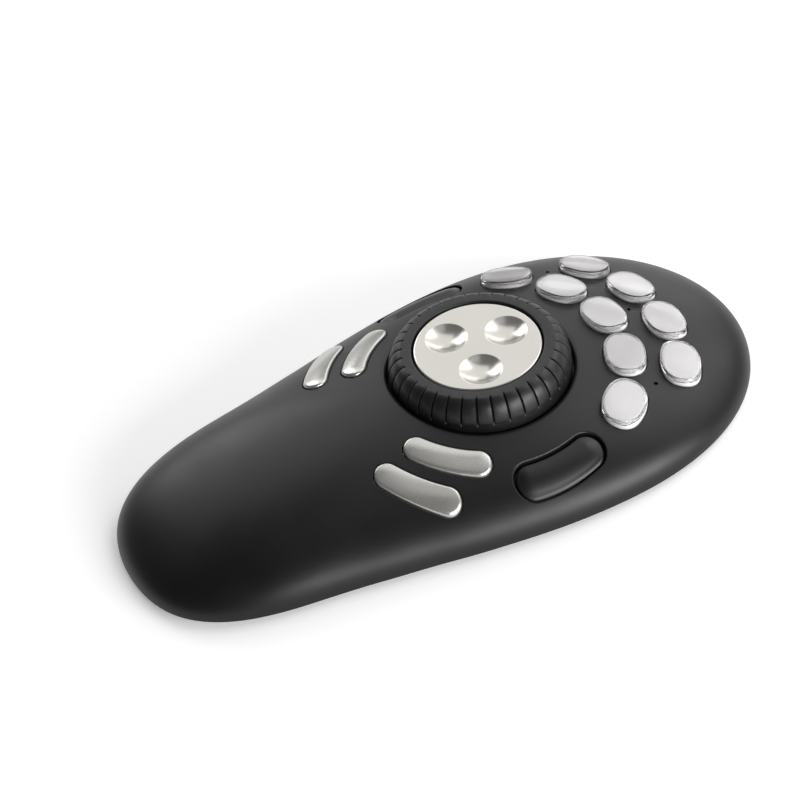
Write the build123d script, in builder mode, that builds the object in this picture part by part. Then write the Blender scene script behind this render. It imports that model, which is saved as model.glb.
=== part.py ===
from build123d import *
from functools import cache
from math import cos, degrees, radians, sin
import os

os.makedirs("parts", exist_ok=True)

# Case: a pebble in plan, flat below and crowned above, all lengths in millimetres
case_length = 226.0
case_width = 121.0
crown_rise = 24.4
crown_shift = 8.0
rim_height = 2.0
rim_lip = 1.2
wall = 2.4
overrun = 5.0

# Plan outline from palm to head, as shares of half the width and half the length
outline_shares = [(0.588, -0.834), (0.754, -0.5), (0.916, -0.083), (1.0, 0.333), (0.88, 0.667), (0.502, 0.917)]
# Heights of the level curves as shares of the crown, and the powers that shape the crown
level_shares = [0.0, 0.3, 0.55, 0.75, 0.88, 0.96, 0.998]
rise_power = 2.0
reach_power = 1.9

# Floor of the case: base plate, feet and the screws that close the case
base_thickness = 2.6
base_clearance = 0.15
foot_radius = 6.0
foot_recess = 0.6
boss_radius = 3.6
case_screw_radius = 1.5
case_screw_length = 5.5
case_screw_head_radius = 2.7
case_screw_head = 1.4
screw_clearance = 0.25

# Main board and what stands on it
board_standoff = 1.0
board_thickness = 1.6
board_inset = 13.0
board_post_radius = 2.6
board_screw_radius = 1.0
board_screw_length = 3.0
board_screw_head_radius = 2.0
board_screw_head = 1.2
board_screw_side_radius = 35.0
board_screw_side_angle = 72.0
switch_side = 6.0
switch_height = 1.6
switch_play = 0.2
switch_clearance = 0.3
chip_side = 10.0
chip_height = 1.2
socket_width = 8.0
socket_depth = 5.0
socket_height = 4.5
socket_wall = 0.8
socket_radius = 36.5
socket_angle = -37.5

# Cord inlet in the wall on the left of the head
gland_clearance = 0.2
gland_bore_radius = 1.6
gland_neck_radius = 2.2
gland_flange_radius = 2.9
gland_flange = 1.2
gland_seat = 1.6
gland_tail = 1.2

# Wheel: a jog disc inside a shuttle ring, both on one upright axis
disc_top = 32.7
disc_radius = 21.2
disc_thickness = 4.0
disc_round = 0.7
disc_hub_radius = 7.0
disc_hub = 3.0
dimple_radius = 7.1
dimple_depth = 1.9
dimple_reach = 11.4
dimple_angle = -6.0
dimple_count = 3
ring_gap = 0.55
ring_land = 2.6
ring_crest = 0.3
ring_radius = 30.2
ring_shoulder = 8.6
groove_count = 36
groove_width = 0.6
groove_depth = 0.5
opening_gap = 0.6
running_clearance = 0.05
axial_play = 0.3

# Wheel support: carrier of the ring, mount, bush, spindle, spring and sensors
carrier_depth = 14.6
carrier_plate = 2.2
carrier_overlap = 1.8
carrier_hub_wall = 3.0
carrier_hub_rise = 5.0
carrier_rim = 2.6
carrier_rim_rise = 4.4
skirt_radius = 27.0
skirt_wall = 1.0
skirt_length = 5.0
skirt_slots = 24
skirt_slot_width = 2.4
skirt_slot_length = 3.4
tube_radius = 9.0
bush_wall = 2.0
spindle_radius = 3.0
spindle_socket = 5.0
spring_wire = 1.4
spring_gap = 0.35
barrel_wall = 3.0
mount_plate = 2.0
mount_plate_radius = 17.5
leg_count = 3
leg_radius = 2.8
leg_circle = 14.0
leg_clearance = 0.5
peg_radius = 1.0
peg_clearance = 0.3
mount_peg_circle = 15.6
carrier_peg_circle = 18.6
spring_reach = 20.4
mount_screw_radius = 1.0
mount_screw_length = 6.0
mount_screw_head_radius = 2.0
mount_screw_head = 1.2
clip_radius = 5.0
clip_thickness = 0.8
clip_groove = 0.6
magnet_thickness = 1.4
sensor_side = 4.0
sensor_height = 1.2
slot_sensor_wall = 1.6
slot_sensor_gap = 0.8
slot_sensor_width = 7.0
slot_sensor_rise = 3.2

# Oval keys under clear caps, on two arcs about the wheel; the inner arc opens out towards its ends
key_half_length = 8.9
key_row_gap = 4.1
key_pitch = 20.94
inner_arc_flare = 2.0
flare_power = 4
key_squareness = 2.35
inner_arc_keys = 5
outer_arc_keys = 4
key_proud = 2.4
key_travel = 1.0
key_clearance = 0.3
cap_wall = 0.6
shoulder_rise = 0.5
neck_step = 0.4
cap_round = 0.7
label_thickness = 0.5
label_clearance = 0.1
flange_width = 1.4
flange_thickness = 1.0
flange_gap = 0.9
post_radius = 1.6
post_entry = 0.2
pin_hole_radius = 0.65
pin_hole_angle = 37.0

# Curved keys: two silver ones and one black one on each side of the wheel
silver_half_width = 4.2
silver_proud = 1.3
silver_clearance = 0.3
silver_margin = 7.1
silver_gap = 4.5
silver_inner_start = 120.0
silver_inner_end = 147.8
silver_outer_start = 130.2
silver_outer_end = 151.4
side_half_width = 5.2
side_proud = 0.4
side_clearance = 0.6
side_margin = 11.8
side_start = 75.6
side_end = 100.4
side_post_inset = 2.2
curved_travel = 0.8
curved_flange_gap = 0.5
curved_flange_width = 1.2
curved_flange = 1.0
curved_post_radius = 1.6

# Places along the case: the wheel as a share of the half length, the rest as shares of the room from the
# wheel to the head or to the palm, and of the half width
wheel_share = 0.1575
inner_arc_share = 0.5
outer_arc_share = 0.689
pin_hole_share = 0.603
head_foot_share = 0.651
head_foot_angle = 45.0
head_boss_share = 0.84
head_boss_angle = 24.0
board_screw_head_share = 0.788
gland_share = 0.5
palm_foot_shares = (0.43, 0.725)
palm_boss_shares = (0.446, 0.58)
board_tail_share = 0.459
board_screw_tail_share = 0.42
chip_share = 0.359
half_width = case_width / 2
wheel_y = wheel_share * case_length / 2
head_room = case_length / 2 - wheel_y
palm_room = case_length / 2 + wheel_y
inner_arc_radius = inner_arc_share * head_room
outer_arc_radius = outer_arc_share * head_room
inner_arc_step = degrees(key_pitch / inner_arc_radius)
outer_arc_step = degrees(key_pitch / outer_arc_radius)
key_half_width = (outer_arc_radius - inner_arc_radius - key_row_gap) / 2
opening_radius = ring_radius + opening_gap
silver_inner_radius = opening_radius + silver_margin + silver_half_width
silver_outer_radius = silver_inner_radius + 2 * silver_half_width + silver_gap
side_radius = half_width - side_margin
board_tail = board_tail_share * palm_room

# Heights worked out from the sizes above
base_top = rim_height + base_thickness
board_top = base_top + board_standoff + board_thickness
switch_top = board_top + switch_height
up = (0, 0, 1)
wheel_axis = Axis((0, wheel_y, 0), up)
wheel_section = Plane((0, wheel_y, disc_top), x_dir=(1, 0, 0), z_dir=(0, -1, 0))


def level(height):
    """Horizontal plane centred under the wheel."""
    return Plane((0, wheel_y, height))


def about_wheel(radius, angle):
    """Plan place at an angle from the head direction, clockwise from above, round the wheel."""
    return (radius * sin(radians(angle)), wheel_y + radius * cos(radians(angle)))


def palm_place(shares, sign):
    """Plan place on one side of the palm, as shares of the half width and of the room behind the wheel."""
    across, along = shares
    return (sign * across * half_width, wheel_y - along * palm_room)


def outline(inset, reach):
    """Plan outline of the case drawn in by an inset, then shrunk towards the crown."""
    across = case_width / 2 - inset
    along = case_length / 2 - inset
    shares = [(0, -1)] + outline_shares + [(0, 1)] + [(-w, l) for w, l in reversed(outline_shares)]
    spots = [(reach * w * across, reach * (l * along + crown_shift) - crown_shift) for w, l in shares]
    with BuildSketch() as plan:
        with BuildLine():
            Spline(*spots, periodic=True)
        make_face()
    return plan.sketch


@cache
def skin(depth):
    """Crowned pebble a set depth inside the case surface: a loft through shrinking level curves."""
    with BuildPart() as pebble:
        for share in level_shares:
            reach = (1 - share ** rise_power) ** (1 / reach_power)
            with BuildSketch(Plane.XY.offset(rim_height + (crown_rise - depth) * share)):
                add(outline(depth, reach))
        loft()
    return pebble.part


def seat(radius, angle):
    """Plane that touches the case at a place round the wheel, its x axis along the arc."""
    x, y = about_wheel(radius, angle)
    point, normal = skin(0).find_intersection_points(Axis((x, y, rim_height), up))[-1]
    along = (cos(radians(angle)), -sin(radians(angle)), 0)
    return Plane(origin=point, x_dir=along, z_dir=normal if normal.Z > 0 else -normal)


def raised(plane, height):
    """The same plane moved straight up."""
    return Plane(origin=plane.origin + Vector(0, 0, height), x_dir=plane.x_dir, z_dir=plane.z_dir)


def oval(grow):
    """Squarish oval of a key, grown evenly: one closed curve through its ends, sides and shoulders."""
    a = key_half_length + grow
    b = key_half_width + grow
    c = a * 2 ** (-1 / key_squareness)
    d = b * 2 ** (-1 / key_squareness)
    with BuildSketch() as face:
        with BuildLine():
            Spline((a, 0), (c, d), (0, b), (-c, d), (-a, 0), (-c, -d), (0, -b), (c, -d), periodic=True)
        make_face()
    return face.sketch


def arc_slot(radius, start, end, half_width):
    """Curved slot with round ends about the wheel axis."""
    with BuildSketch() as slot:
        spine = CenterArc((0, wheel_y), radius, 90 - start, start - end, mode=Mode.PRIVATE)
        SlotArc(spine, 2 * half_width)
    return slot.sketch


def slab(face, top, bottom):
    """Upright prism of a plan face, kept between two depths under the case surface and off the base."""
    with BuildPart() as slice:
        with BuildSketch(Plane.XY.offset(base_top + curved_travel + axial_play)):
            add(face)
        extrude(amount=crown_rise + overrun)
        add(skin(top), mode=Mode.INTERSECT)
        add(skin(bottom), mode=Mode.SUBTRACT)
    return slice.part


def save(part, name):
    """Label a finished piece and write it under its own name."""
    part.label = name
    export_step(part, f"parts/{name}.step")


def screws(places, seat_height, length, radius, head, head_radius):
    """Pan-head screws driven upwards: heads below the seat height, shanks above it."""
    with BuildPart() as group:
        with BuildSketch(Plane.XY.offset(seat_height)):
            with Locations(*places):
                Circle(radius)
        extrude(amount=length)
        with BuildSketch(Plane.XY.offset(seat_height)):
            with Locations(*places):
                Circle(head_radius)
        extrude(amount=-head)
    return group.part


# Places of the keys, feet, bosses and screws
inner_angles = [inner_arc_step * (n - (inner_arc_keys - 1) / 2) for n in range(inner_arc_keys)]
outer_angles = [outer_arc_step * (n - (outer_arc_keys - 1) / 2) for n in range(outer_arc_keys)]
inner_radii = [inner_arc_radius + inner_arc_flare * (a / inner_angles[-1]) ** flare_power for a in inner_angles]
key_spots = list(zip(inner_radii, inner_angles)) + [(outer_arc_radius, a) for a in outer_angles]
silver_bars = {
    "silver_inner": (silver_inner_radius, silver_inner_start, silver_inner_end),
    "silver_outer": (silver_outer_radius, silver_outer_start, silver_outer_end),
}
hands = {"right": 1, "left": -1}
boss_places = [about_wheel(head_boss_share * head_room, s * head_boss_angle) for s in hands.values()]
boss_places += [palm_place(palm_boss_shares, s) for s in hands.values()]
foot_places = [about_wheel(head_foot_share * head_room, s * head_foot_angle) for s in hands.values()]
foot_places += [palm_place(palm_foot_shares, s) for s in hands.values()]
board_screw_places = [about_wheel(board_screw_side_radius, s * board_screw_side_angle) for s in hands.values()]
board_screw_places += [about_wheel(board_screw_head_share * head_room, 0)]
board_screw_places += [about_wheel(board_screw_tail_share * palm_room, 180)]
leg_places = [about_wheel(leg_circle, 360 * n / leg_count) for n in range(leg_count)]
case_screw_seat = rim_height + case_screw_head
mount_screw_seat = rim_height + mount_screw_head

# Cord inlet: its flange stands clear of the base plate, flush with the wall at its upper edge
gland_pocket = gland_flange_radius + base_clearance
inlet_height = base_top + gland_clearance + gland_pocket
inlet_line = Axis((0, wheel_y + gland_share * head_room, inlet_height + gland_flange_radius), (-1, 0, 0))
inlet_point, inlet_normal = skin(0).find_intersection_points(inlet_line)[-1]
inlet_out = Vector(inlet_normal.X, inlet_normal.Y, 0).normalized()
inlet_out = inlet_out if inlet_out.X < 0 else -inlet_out
inlet_seat = Vector(inlet_point.X, inlet_point.Y, inlet_height) - inlet_out * gland_seat
inlet = Plane(origin=inlet_seat, x_dir=up, z_dir=inlet_out)

# Screw bosses that hang from the crown of the shell
with BuildPart() as bosses:
    with BuildSketch(Plane.XY.offset(base_top)):
        with Locations(*boss_places):
            Circle(boss_radius)
    extrude(amount=crown_rise)
    add(skin(wall / 2), mode=Mode.INTERSECT)

# Top shell: crowned wall with an opening for every control
with BuildPart() as top_shell:
    add(skin(0))
    add(skin(wall), mode=Mode.SUBTRACT)
    with BuildSketch(Plane.XY.offset(base_top)):
        add(outline(rim_lip, 1))
    extrude(amount=-(base_thickness + overrun), mode=Mode.SUBTRACT)
    add(bosses.part)
    with BuildSketch(Plane.XY.offset(base_top)):
        with Locations(*boss_places):
            Circle(case_screw_radius)
    extrude(amount=case_screw_length - base_thickness + case_screw_head, mode=Mode.SUBTRACT)
    with BuildSketch(level(base_top)):
        Circle(opening_radius)
    extrude(amount=crown_rise + overrun, mode=Mode.SUBTRACT)
    for radius, angle in key_spots:
        with BuildSketch(raised(seat(radius, angle), -overrun)):
            add(oval(key_clearance))
        extrude(amount=2 * overrun, dir=up, mode=Mode.SUBTRACT)
    for sign in (-1, 0, 1):
        with BuildSketch(Plane.XY.offset(board_top)):
            with Locations(about_wheel(pin_hole_share * head_room, sign * pin_hole_angle)):
                Circle(pin_hole_radius)
        extrude(amount=crown_rise, mode=Mode.SUBTRACT)
    for sign in hands.values():
        for radius, start, end in silver_bars.values():
            with BuildSketch(Plane.XY.offset(board_top)):
                add(arc_slot(radius, sign * start, sign * end, silver_half_width + silver_clearance))
            extrude(amount=crown_rise, mode=Mode.SUBTRACT)
        with BuildSketch(Plane.XY.offset(base_top)):
            add(arc_slot(side_radius, sign * side_start, sign * side_end, side_half_width + side_clearance))
        extrude(amount=crown_rise, mode=Mode.SUBTRACT)
    with BuildSketch(inlet):
        Circle(gland_pocket)
    extrude(amount=crown_rise, mode=Mode.SUBTRACT)
    with BuildSketch(inlet):
        Circle(gland_neck_radius)
    extrude(amount=-(wall + gland_tail + overrun), mode=Mode.SUBTRACT)
save(top_shell.part, "top_shell")

# Base plate: closes the case inside its rim, with posts for the board and seats for feet and screws
with BuildPart() as base_plate:
    with BuildSketch(Plane.XY.offset(rim_height)):
        add(outline(rim_lip + base_clearance, 1))
    extrude(amount=base_thickness)
    with BuildSketch(Plane.XY.offset(base_top)):
        with Locations(*board_screw_places):
            Circle(board_post_radius)
    extrude(amount=board_standoff)
    with BuildSketch(Plane.XY.offset(base_top + board_standoff)):
        with Locations(*board_screw_places):
            Circle(board_screw_radius)
    extrude(amount=-(board_screw_length - board_thickness), mode=Mode.SUBTRACT)
    with BuildSketch(Plane.XY.offset(rim_height)):
        with Locations(*foot_places):
            Circle(foot_radius)
    extrude(amount=foot_recess, mode=Mode.SUBTRACT)
    for places, radius, head_radius, head in (
        (boss_places, case_screw_radius, case_screw_head_radius, case_screw_head),
        (leg_places, mount_screw_radius, mount_screw_head_radius, mount_screw_head),
    ):
        with BuildSketch(Plane.XY.offset(rim_height)):
            with Locations(*places):
                Circle(head_radius + screw_clearance)
        extrude(amount=head, mode=Mode.SUBTRACT)
        with BuildSketch(Plane.XY.offset(rim_height)):
            with Locations(*places):
                Circle(radius + screw_clearance)
        extrude(amount=base_thickness, mode=Mode.SUBTRACT)
save(base_plate.part, "base_plate")

# Rubber feet: round pads set into the base plate
with BuildPart() as rubber_feet:
    with BuildSketch():
        with Locations(*foot_places):
            Circle(foot_radius)
    extrude(amount=rim_height + foot_recess)
save(rubber_feet.part, "rubber_feet")

case_screws = screws(
    boss_places, case_screw_seat, case_screw_length, case_screw_radius, case_screw_head, case_screw_head_radius
)
save(case_screws, "case_screws")
mount_screws = screws(
    leg_places, mount_screw_seat, mount_screw_length, mount_screw_radius, mount_screw_head, mount_screw_head_radius
)
save(mount_screws, "mount_screws")

# Main board: follows the case outline under the controls
with BuildPart() as main_board:
    with BuildSketch(Plane.XY.offset(base_top + board_standoff)):
        add(outline(board_inset, 1))
        with Locations((0, wheel_y - board_tail - case_length / 2)):
            Rectangle(case_width, case_length, mode=Mode.SUBTRACT)
        with Locations(*board_screw_places):
            Circle(board_screw_radius + screw_clearance, mode=Mode.SUBTRACT)
        with Locations(*leg_places):
            Circle(leg_radius + leg_clearance, mode=Mode.SUBTRACT)
    extrude(amount=board_thickness)
save(main_board.part, "main_board")

# Board screws: driven down into the posts of the base plate
with BuildPart() as board_screws:
    with BuildSketch(Plane.XY.offset(board_top)):
        with Locations(*board_screw_places):
            Circle(board_screw_radius)
    extrude(amount=-board_screw_length)
    with BuildSketch(Plane.XY.offset(board_top)):
        with Locations(*board_screw_places):
            Circle(board_screw_head_radius)
    extrude(amount=board_screw_head)
save(board_screws.part, "board_screws")

# Controller chip: square package in front of the wheel
with BuildPart() as controller_chip:
    with BuildSketch(Plane.XY.offset(board_top)):
        with Locations(about_wheel(chip_share * palm_room, 180)):
            Rectangle(chip_side, chip_side)
    extrude(amount=chip_height)
save(controller_chip.part, "controller_chip")

# Cable socket: open-topped header that takes the cord's inner plug
socket_x, socket_y = about_wheel(socket_radius, socket_angle)
with BuildPart() as cable_socket:
    with BuildSketch(Plane.XY.offset(board_top)):
        with Locations((socket_x, socket_y)):
            Rectangle(socket_width, socket_depth)
    extrude(amount=socket_height)
    with BuildSketch(Plane.XY.offset(board_top + socket_height)):
        with Locations((socket_x, socket_y)):
            Rectangle(socket_width - 2 * socket_wall, socket_depth - 2 * socket_wall)
    extrude(amount=-(socket_height - socket_wall), mode=Mode.SUBTRACT)
save(cable_socket.part, "cable_socket")

# Cable gland: rubber grommet in the wall beside the head, with no cord in it
with BuildPart() as cable_gland:
    with BuildSketch(inlet):
        Circle(gland_flange_radius)
    extrude(amount=gland_flange)
    with BuildSketch(inlet):
        Circle(gland_neck_radius)
    extrude(amount=-(wall + gland_tail))
    with BuildSketch(inlet.offset(gland_flange)):
        Circle(gland_bore_radius)
    extrude(amount=-(gland_flange + wall + gland_tail), mode=Mode.SUBTRACT)
save(cable_gland.part, "cable_gland")

# Switches: a low square body under every key, with a well for the plunger
curved_keys = {}
for hand, sign in hands.items():
    for name, (radius, start, end) in silver_bars.items():
        middle = sign * (start + end) / 2
        curved_keys[f"{name}_{hand}"] = (radius, sign * start, sign * end, about_wheel(radius, middle))
    middle = sign * (side_start + side_end) / 2
    side_switch = about_wheel(side_radius - side_post_inset, middle)
    curved_keys[f"side_key_{hand}"] = (side_radius, sign * side_start, sign * side_end, side_switch)
switch_places = [about_wheel(radius, angle) for radius, angle in key_spots]
switch_places += [spot for *_, spot in curved_keys.values()]
with BuildPart() as tact_switches:
    with BuildSketch(Plane.XY.offset(board_top)):
        with Locations(*switch_places):
            Rectangle(switch_side, switch_side)
    extrude(amount=switch_height)
    with BuildSketch(Plane.XY.offset(switch_top)):
        with Locations(*switch_places):
            Circle(post_radius + switch_clearance)
    extrude(amount=-(post_entry + key_travel + switch_play), mode=Mode.SUBTRACT)
save(tact_switches.part, "tact_switches")

# Depths of the wheel stack below the top of the disc
disc_foot = disc_thickness + disc_hub
bush_top = disc_foot + axial_play
carrier_foot = carrier_depth + carrier_plate
shoulder = carrier_foot + axial_play
mount_top = carrier_foot + 2 * spring_gap + spring_wire
mount_foot = mount_top + mount_plate
clip_top = mount_foot + axial_play
spindle_foot = clip_top + clip_thickness + clip_groove
bush_radius = spindle_radius + running_clearance + bush_wall
barrel_radius = tube_radius + barrel_wall
hub_bore = tube_radius + running_clearance
ring_bore = disc_radius + ring_gap

# Wheel mount: bearing tube, spring barrel and plate on three legs
with BuildPart() as wheel_mount:
    with BuildSketch(wheel_section):
        with BuildLine():
            Polyline(
                (bush_radius, -bush_top),
                (tube_radius, -bush_top),
                (tube_radius, -shoulder),
                (barrel_radius, -shoulder),
                (barrel_radius, -mount_top),
                (mount_plate_radius, -mount_top),
                (mount_plate_radius, -mount_foot),
                (bush_radius, -mount_foot),
                close=True,
            )
        make_face()
    revolve(axis=wheel_axis)
    with BuildSketch(Plane.XY.offset(base_top)):
        with Locations(*leg_places):
            Circle(leg_radius)
    extrude(amount=disc_top - mount_foot - base_top)
    with BuildSketch(Plane.XY.offset(disc_top - mount_top)):
        with Locations(about_wheel(mount_peg_circle, 180)):
            Circle(peg_radius)
    extrude(amount=spring_wire + spring_gap)
    with BuildSketch(Plane.XY.offset(base_top)):
        with Locations(*leg_places):
            Circle(mount_screw_radius)
    extrude(amount=mount_screw_length - base_thickness + mount_screw_head, mode=Mode.SUBTRACT)
save(wheel_mount.part, "wheel_mount")

# Jog bush: plain sleeve in the bearing tube
with BuildPart() as jog_bush:
    with BuildSketch(level(disc_top - bush_top)):
        Circle(bush_radius)
        Circle(spindle_radius + running_clearance, mode=Mode.SUBTRACT)
    extrude(amount=-(mount_foot - bush_top))
save(jog_bush.part, "jog_bush")

# Jog disc: satin disc with three finger dimples and a hub for the spindle
dimple_sphere = (dimple_radius ** 2 + dimple_depth ** 2) / (2 * dimple_depth)
dimple_places = [about_wheel(dimple_reach, dimple_angle + 360 * n / dimple_count) for n in range(dimple_count)]
with BuildPart() as jog_disc:
    with BuildSketch(level(disc_top)):
        Circle(disc_radius)
    extrude(amount=-disc_thickness)
    fillet(jog_disc.edges().group_by(Axis.Z)[-1], disc_round)
    with BuildSketch(level(disc_top - disc_thickness)):
        Circle(disc_hub_radius)
    extrude(amount=-disc_hub)
    with BuildSketch(level(disc_top - disc_foot)):
        Circle(spindle_radius)
    extrude(amount=spindle_socket, mode=Mode.SUBTRACT)
    with Locations(*[(x, y, disc_top - dimple_depth + dimple_sphere) for x, y in dimple_places]):
        Sphere(dimple_sphere, mode=Mode.SUBTRACT)
save(jog_disc.part, "jog_disc")

# Jog spindle: steel pin from the disc through the bush, grooved for its clip
with BuildPart() as jog_spindle:
    with BuildSketch(level(disc_top - disc_foot + spindle_socket)):
        Circle(spindle_radius)
    extrude(amount=-(spindle_foot - disc_foot + spindle_socket))
    with BuildSketch(level(disc_top - clip_top)):
        Circle(spindle_radius + overrun)
        Circle(spindle_radius - clip_groove, mode=Mode.SUBTRACT)
    extrude(amount=-clip_thickness, mode=Mode.SUBTRACT)
save(jog_spindle.part, "jog_spindle")

# Spindle clip: retaining washer in the groove
with BuildPart() as spindle_clip:
    with BuildSketch(level(disc_top - clip_top)):
        Circle(clip_radius)
        Circle(spindle_radius - clip_groove, mode=Mode.SUBTRACT)
    extrude(amount=-clip_thickness)
save(spindle_clip.part, "spindle_clip")

# Jog magnet: disc under the spindle, read by the sensor below it
with BuildPart() as jog_magnet:
    with BuildSketch(level(disc_top - spindle_foot)):
        Circle(spindle_radius)
    extrude(amount=-magnet_thickness)
save(jog_magnet.part, "jog_magnet")

# Jog sensor: small chip on the board under the magnet
with BuildPart() as jog_sensor:
    with BuildSketch(level(board_top)):
        Rectangle(sensor_side, sensor_side)
    extrude(amount=sensor_height)
save(jog_sensor.part, "jog_sensor")


def ring_profile(inset):
    """Half section of the ring: a flat land by the disc, then a quarter ellipse down to the outer wall."""
    land = ring_bore + ring_land
    with BuildSketch(wheel_section) as profile:
        with BuildLine():
            shoulder_arc = EllipticalCenterArc(
                (land, -ring_shoulder), ring_radius - land - inset, ring_crest + ring_shoulder - inset, arc_size=90
            )
            Polyline(
                shoulder_arc @ 1,
                (ring_bore, ring_crest - inset),
                (ring_bore, -carrier_depth),
                (ring_radius - inset, -carrier_depth),
                shoulder_arc @ 0,
            )
        make_face()
    return profile.sketch


# Grooves of the ring: thin radial blades that reach a set depth under its surface
with BuildPart() as grooves:
    with BuildSketch(level(disc_top - ring_shoulder)):
        with PolarLocations((ring_bore + ring_land + ring_radius + overrun) / 2, groove_count):
            Rectangle(ring_radius + overrun - ring_bore - ring_land, groove_width)
    extrude(amount=ring_shoulder + overrun)
    revolve(ring_profile(groove_depth), axis=wheel_axis, mode=Mode.SUBTRACT)

# Shuttle ring: soft black ring with a smooth inner land and a grooved outer curve
with BuildPart() as shuttle_ring:
    revolve(ring_profile(0), axis=wheel_axis)
    add(grooves.part, mode=Mode.SUBTRACT)
save(shuttle_ring.part, "shuttle_ring")

# Shuttle carrier: plate under the ring, hub on the bearing tube, slotted skirt for the sensor
with BuildPart() as shuttle_carrier:
    with BuildSketch(level(disc_top - carrier_foot)):
        Circle(opening_radius + carrier_overlap)
        Circle(hub_bore, mode=Mode.SUBTRACT)
    extrude(amount=carrier_plate)
    with BuildSketch(level(disc_top - carrier_depth)):
        Circle(hub_bore + carrier_hub_wall)
        Circle(hub_bore, mode=Mode.SUBTRACT)
    extrude(amount=carrier_hub_rise)
    with BuildSketch(level(disc_top - carrier_depth)):
        Circle(ring_bore)
        Circle(ring_bore - carrier_rim, mode=Mode.SUBTRACT)
    extrude(amount=carrier_rim_rise)
    with BuildSketch(level(disc_top - carrier_foot)):
        Circle(skirt_radius)
        Circle(skirt_radius - skirt_wall, mode=Mode.SUBTRACT)
    extrude(amount=-skirt_length)
    with BuildSketch(level(disc_top - carrier_foot - skirt_length)):
        with PolarLocations(skirt_radius, skirt_slots):
            Rectangle(2 * overrun, skirt_slot_width)
    extrude(amount=skirt_slot_length, mode=Mode.SUBTRACT)
    with BuildSketch(Plane.XY.offset(disc_top - carrier_foot)):
        with Locations(about_wheel(carrier_peg_circle, 180)):
            Circle(peg_radius)
    extrude(amount=-(spring_wire + spring_gap))
save(shuttle_carrier.part, "shuttle_carrier")

# Shuttle spring: open wire ring round the barrel, its two legs either side of the pegs
spring_bore = barrel_radius + spring_gap
leg_gap = peg_radius + peg_clearance
with BuildPart() as shuttle_spring:
    with BuildSketch(level(disc_top - mount_top + spring_gap)):
        Circle(spring_bore + spring_wire)
        Circle(spring_bore, mode=Mode.SUBTRACT)
        with Locations((0, -(spring_bore + spring_reach) / 2)):
            Rectangle(2 * (leg_gap + spring_wire), spring_reach - spring_bore)
        with Locations((0, -spring_reach / 2)):
            Rectangle(2 * leg_gap, spring_reach + overrun, mode=Mode.SUBTRACT)
    extrude(amount=spring_wire)
save(shuttle_spring.part, "shuttle_spring")

# Shuttle sensor: slotted block on the board that straddles the carrier's skirt
sensor_top = disc_top - carrier_foot - skirt_length + slot_sensor_rise
sensor_inner = skirt_radius - skirt_wall - slot_sensor_gap
sensor_outer = skirt_radius + slot_sensor_gap
with BuildPart() as shuttle_sensor:
    with BuildSketch(level(board_top)):
        with Locations((0, -(sensor_inner + sensor_outer) / 2)):
            Rectangle(slot_sensor_width, sensor_outer - sensor_inner + 2 * slot_sensor_wall)
    extrude(amount=sensor_top - board_top)
    with BuildSketch(level(disc_top - carrier_foot - skirt_length - slot_sensor_gap)):
        Circle(sensor_outer)
        Circle(sensor_inner, mode=Mode.SUBTRACT)
    extrude(amount=slot_sensor_rise + slot_sensor_gap + overrun, mode=Mode.SUBTRACT)
save(shuttle_sensor.part, "shuttle_sensor")

# Oval keys: clear cap on the shoulder of a flanged stem, a label between them and a post into the switch
cap_roof = key_proud - cap_wall
label_foot = cap_roof - label_thickness
flange_top = -(wall + flange_gap)
post_foot = switch_top - post_entry
for number, (radius, angle) in enumerate(key_spots, start=1):
    touch = seat(radius, angle)
    with BuildPart() as key_cap:
        with BuildSketch(raised(touch, shoulder_rise)):
            add(oval(0))
        extrude(amount=key_proud - shoulder_rise, dir=up)
        fillet(key_cap.faces().sort_by(Axis.Z)[-1].edges(), cap_round)
        with BuildSketch(raised(touch, shoulder_rise)):
            add(oval(-cap_wall))
        extrude(amount=cap_roof - shoulder_rise, dir=up, mode=Mode.SUBTRACT)
    save(key_cap.part, f"key_cap_{number}")

    with BuildPart() as key_label:
        with BuildSketch(raised(touch, label_foot)):
            add(oval(-cap_wall - label_clearance))
        extrude(amount=label_thickness, dir=up)
    save(key_label.part, f"key_label_{number}")

    with BuildPart() as key_stem:
        with BuildSketch(raised(touch, flange_top - flange_thickness)):
            add(oval(flange_width))
        extrude(amount=flange_thickness, dir=up)
        with BuildSketch(raised(touch, flange_top)):
            add(oval(0))
        extrude(amount=shoulder_rise - flange_top, dir=up)
        with BuildSketch(raised(touch, shoulder_rise)):
            add(oval(-cap_wall - label_clearance - neck_step))
        extrude(amount=label_foot - shoulder_rise, dir=up)
        with BuildSketch(Plane.XY.offset(post_foot)):
            with Locations(about_wheel(radius, angle)):
                Circle(post_radius)
        extrude(amount=touch.origin.Z + flange_top - post_foot)
    save(key_stem.part, f"key_stem_{number}")

# Curved keys: moulded bars that follow the crown, each with a flange and a post of its own
flange_depth = wall + curved_flange_gap
for name, (radius, start, end, (post_x, post_y)) in curved_keys.items():
    is_side = name.startswith("side")
    bar_half = side_half_width if is_side else silver_half_width
    proud = side_proud if is_side else silver_proud
    bar = arc_slot(radius, start, end, bar_half)
    flange = arc_slot(radius, start, end, bar_half + curved_flange_width)
    with BuildPart() as curved_key:
        add(slab(bar, -proud, flange_depth + curved_flange))
        add(slab(flange, flange_depth, flange_depth + curved_flange))
    with BuildPart() as post:
        with BuildSketch(Plane.XY.offset(post_foot)):
            with Locations((post_x, post_y)):
                Circle(curved_post_radius)
        extrude(amount=crown_rise)
        add(skin(flange_depth + curved_flange / 2), mode=Mode.INTERSECT)
    with BuildPart() as whole:
        add(curved_key.part)
        add(post.part)
    save(whole.part, name)
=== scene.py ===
import bmesh
import bpy
import math
import numpy as np
from mathutils import Matrix
from mathutils.geometry import delaunay_2d_cdt


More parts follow.
